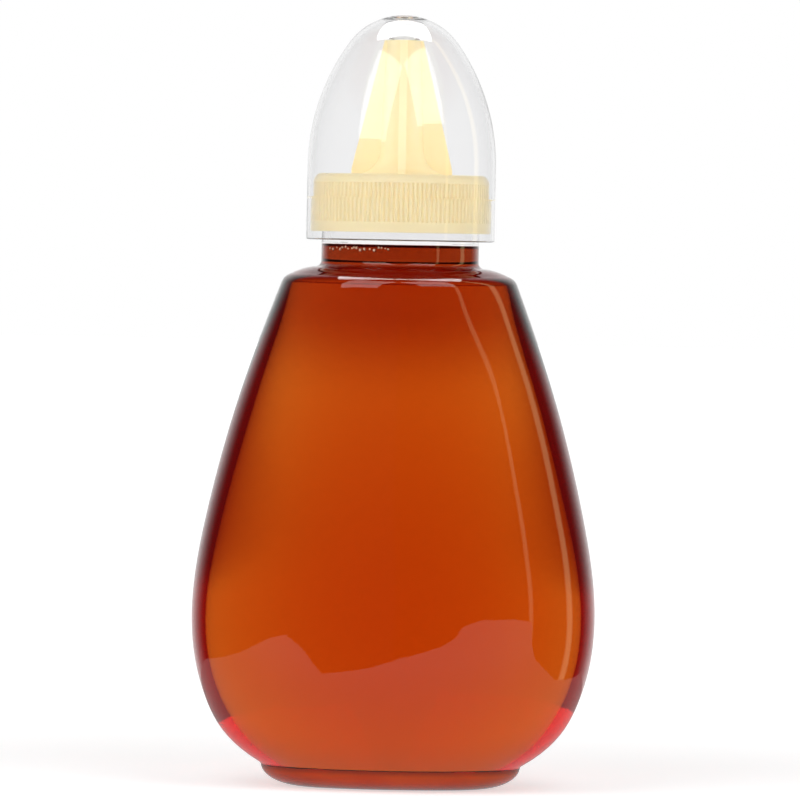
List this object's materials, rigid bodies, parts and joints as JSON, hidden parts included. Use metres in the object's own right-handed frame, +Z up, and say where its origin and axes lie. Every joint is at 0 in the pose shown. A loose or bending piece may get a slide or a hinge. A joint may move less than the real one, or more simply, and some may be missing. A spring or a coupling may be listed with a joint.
{
  "type": "squeeze honey dispenser",
  "caption": "Clear squeeze bottle of honey with an oval waisted body, a ribbed screw cap with a finned nozzle, and a clear pointed dust cover.",
  "frame": {"origin": "middle of the foot on the surface it stands on", "axes": "+Z up through the nozzle, +X along the width, -Y towards the front"},
  "size_m": [0.09, 0.0616, 0.172],
  "materials": {
    "clear_bottle": "clear gloss",
    "honey": "clear amber gloss",
    "white_foam": "matte foam",
    "cream_plastic": "satin",
    "clear_cover": "clear gloss"
  },
  "bodies": {
    "container": {"bottle": "clear_bottle", "bottle_neck": "clear_bottle", "honey_fill": "honey"},
    "washer": {"cap_washer": "white_foam"},
    "cap": {"screw_cap": "cream_plastic"},
    "cover": {"dust_cover": "clear_cover"}
  },
  "joints": [
    {"name": "cap_rise", "type": "slide", "parent": "container", "child": "washer", "axis": [0, 0, 1], "range_m": [0, 0.0106]},
    {"name": "cap_turn", "type": "hinge", "parent": "washer", "child": "cap", "pos_m": [0, 0, 0.13], "axis": [0, 0, 1], "range_deg": [0, 900]},
    {"name": "cover_pull", "type": "slide", "parent": "cap", "child": "cover", "axis": [0, 0, 1], "range_m": [0, 0.048]}
  ],
  "couplings": [
    {"joint": "cap_rise", "follows": "cap_turn", "m_per_rad": 0.00067376}
  ]
}
